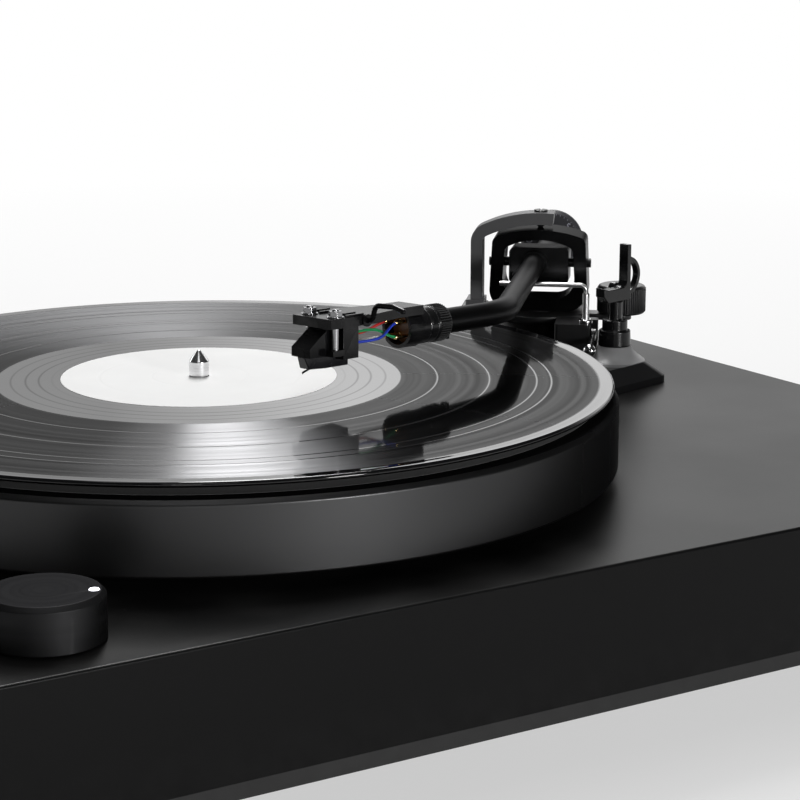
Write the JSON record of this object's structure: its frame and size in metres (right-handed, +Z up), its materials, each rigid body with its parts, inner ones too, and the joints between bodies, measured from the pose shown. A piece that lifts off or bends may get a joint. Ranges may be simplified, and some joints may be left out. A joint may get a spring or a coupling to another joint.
{
  "type": "turntable record player",
  "caption": "low black belt-drive record player with a heavy round platter, a record in place and a bent tonearm with gimbal pivot and counterweight",
  "frame": {"origin": "on the table, under the middle of the plinth", "axes": "+X to the right and +Y to the back seen from the front, +Z up"},
  "size_m": [0.45, 0.352, 0.1416],
  "materials": {
    "board_black": "satin",
    "cover_black": "matte",
    "foot_black": "matte",
    "rubber_black": "matte",
    "steel": "satin",
    "chrome": "polished",
    "brass": "satin",
    "pad_white": "matte",
    "motor_grey": "satin",
    "platter_black": "satin",
    "plastic_black": "matte",
    "gloss_black": "gloss",
    "felt_black": "matte",
    "vinyl": "gloss",
    "label_white": "matte",
    "arm_black": "satin",
    "arm_painted": "satin",
    "light": "gloss",
    "board_green": "satin",
    "shell_grey": "satin",
    "connector_brown": "satin",
    "wire": "satin",
    "holder_dark": "gloss"
  },
  "bodies": {
    "base": {"plinth": "board_black", "bottom_cover": "cover_black", "feet": "foot_black", "foot_pads": "rubber_black", "bearing_housing": "steel", "bearing_bush": "brass", "thrust_pad": "pad_white", "deck_screws": "steel", "motor_plate": "steel", "motor": "motor_grey", "drive_belt": "rubber_black", "rotary_switch": "plastic_black", "control_board": "board_green", "rear_panel": "plastic_black", "rca_jacks": "brass", "ground_post": "steel", "dc_inlet": "plastic_black", "arm_base": "gloss_black", "arm_pillar": "arm_painted", "pivot_bearings": "steel", "arm_bracket": "arm_painted", "top_pivot_screw": "arm_painted", "lifter_housing": "plastic_black", "lifter_ferrule": "chrome", "rest_post": "gloss_black", "arm_rest": "plastic_black"},
    "platter_set": {"spindle": "chrome", "platter": "platter_black", "drive_ring": "plastic_black", "platter_mat": "felt_black", "record": "vinyl", "record_labels": "label_white"},
    "motor_rotor": {"motor_pulley": "brass"},
    "knob": {"speed_knob": "arm_black", "knob_light": "light"},
    "yoke": {"gimbal_yoke": "gloss_black", "yoke_shaft": "steel", "yoke_pivot_screws": "arm_painted"},
    "tonearm": {"pivot_block": "arm_black", "arm_tube": "arm_black", "counterweight_shaft": "arm_black", "arm_socket": "arm_black", "headshell": "shell_grey", "connector_disc": "connector_brown", "finger_lift": "shell_grey", "cartridge_body": "plastic_black", "stylus_holder": "holder_dark", "stylus": "arm_black", "cartridge_screws": "steel", "lead_wires": "wire"},
    "collar": {"locking_collar": "arm_black"},
    "weight": {"counterweight": "arm_painted"},
    "dial": {"force_dial": "plastic_black"},
    "lever": {"cue_lever": "chrome"},
    "lifter": {"lift_bar": "chrome"},
    "skate_knob": {"antiskate_knob": "plastic_black"},
    "clip": {"rest_clip": "plastic_black"},
    "slider": {"output_switch": "plastic_black"}
  },
  "joints": [
    {"name": "platter_spin", "type": "hinge", "parent": "base", "child": "platter_set", "pos_m": [-0.06, 0, 0.1021], "axis": [0, 0, 1], "continuous": true},
    {"name": "motor_spin", "type": "hinge", "parent": "base", "child": "motor_rotor", "pos_m": [-0.14344, 0.08344, 0.082], "axis": [0, 0, 1], "continuous": true},
    {"name": "speed_knob_turn", "type": "hinge", "parent": "base", "child": "knob", "pos_m": [-0.189, -0.146, 0.072], "axis": [0, 0, 1], "range_deg": [-45, 45]},
    {"name": "arm_swing", "type": "hinge", "parent": "base", "child": "yoke", "pos_m": [0.15439, 0.08329, 0.118], "axis": [0, 0, 1], "range_deg": [-4, 53.06]},
    {"name": "arm_lift", "type": "hinge", "parent": "yoke", "child": "tonearm", "pos_m": [0.15439, 0.08329, 0.118], "axis": [0.7604, -0.6494, 0], "range_deg": [0, 2.2]},
    {"name": "cue_lever_turn", "type": "hinge", "parent": "base", "child": "lever", "pos_m": [0.15682, 0.04702, 0.091], "axis": [0.7604, -0.6494, 0], "range_deg": [-30, 0]},
    {"name": "lift_bar_slide", "type": "slide", "parent": "base", "child": "lifter", "axis": [0, 0, 1], "range_m": [-0.0025, 0]},
    {"name": "counterweight_slide", "type": "slide", "parent": "tonearm", "child": "weight", "axis": [-0.6489, -0.7597, 0.0427], "range_m": [-0.003, 0.003]},
    {"name": "force_dial_turn", "type": "hinge", "parent": "weight", "child": "dial", "pos_m": [0.19999, 0.13637, 0.11601], "axis": [-0.6489, -0.7597, 0.0427], "range_deg": [-180, 180]},
    {"name": "collar_turn", "type": "hinge", "parent": "tonearm", "child": "collar", "pos_m": [0.0182, -0.04006, 0.1258], "axis": [-0.9723, -0.2311, 0.0345], "range_deg": [0, 90]},
    {"name": "antiskate_turn", "type": "hinge", "parent": "base", "child": "skate_knob", "pos_m": [0.18177, 0.05991, 0.0965], "axis": [0, 0, 1], "range_deg": [-140, 140]},
    {"name": "rest_clip_turn", "type": "hinge", "parent": "base", "child": "clip", "pos_m": [0.16625, 0.04018, 0.1115], "axis": [0.2175, -0.9761, 0], "range_deg": [0, 90]},
    {"name": "output_switch_slide", "type": "slide", "parent": "base", "child": "slider", "axis": [1, 0, 0], "range_m": [0, 0.004]}
  ],
  "couplings": [
    {"joint": "motor_spin", "follows": "platter_spin", "ratio": 9},
    {"joint": "cue_lever_turn", "follows": "arm_lift", "ratio": -13.636},
    {"joint": "lift_bar_slide", "follows": "arm_lift", "m_per_rad": -0.06506}
  ]
}
